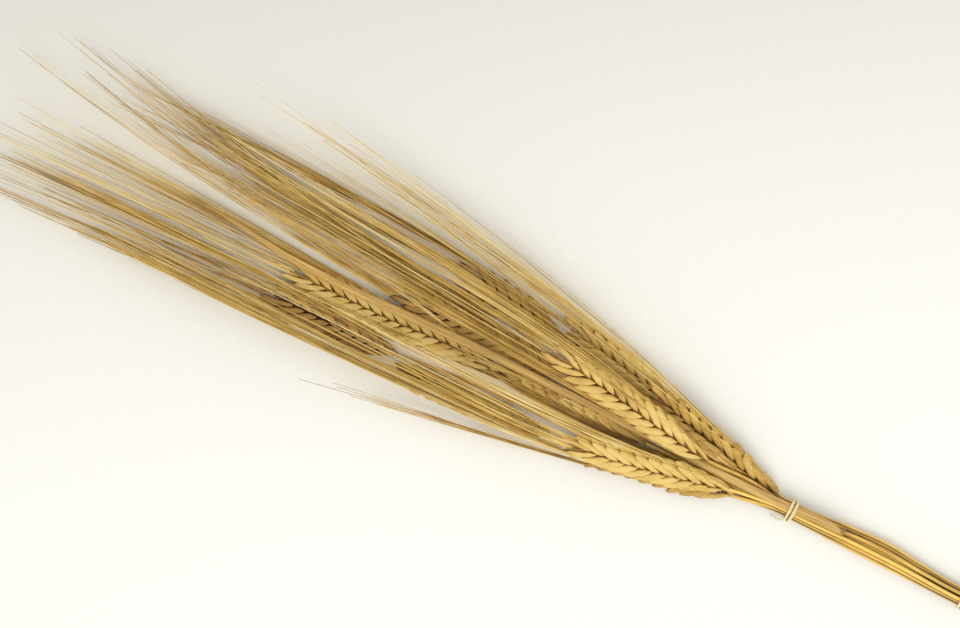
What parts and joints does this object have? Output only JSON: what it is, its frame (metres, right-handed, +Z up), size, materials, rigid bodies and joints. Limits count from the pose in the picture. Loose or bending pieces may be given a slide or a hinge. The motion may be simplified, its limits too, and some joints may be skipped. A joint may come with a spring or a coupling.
{
  "type": "tied bunch of bearded wheat ears",
  "caption": "Bunch of dried einkorn-type wheat ears with long bristly awns on their straws, held by thread ties, with one dried leaf, lying flat.",
  "frame": {"origin": "on the surface the bunch lies on, in the middle of the flat underside of the front tie's first turn", "axes": "+X along the straws from the ears towards the cut ends, +Y across the bunch, +Z up from the surface"},
  "size_m": [0.3484, 0.0697, 0.0168],
  "materials": {
    "straw": "dry straw, satin",
    "leaf": "dry leaf, finely ribbed",
    "thread": "twisted cotton thread"
  },
  "bodies": {
    "root": {"stalk_left_far": "straw", "stalk_right_far": "straw", "stalk_right_mid": "straw", "stalk_left_mid": "straw", "stalk_centre_far": "straw", "stalk_centre_right": "straw", "stalk_right_near": "straw", "stalk_left_under": "straw", "stalk_centre_near": "straw", "stalk_right_slim": "straw", "stalk_left_top": "straw", "stalk_right_top": "straw", "leaf": "leaf", "tie_front": "thread", "tie_rear": "thread"}
  },
  "joints": []
}
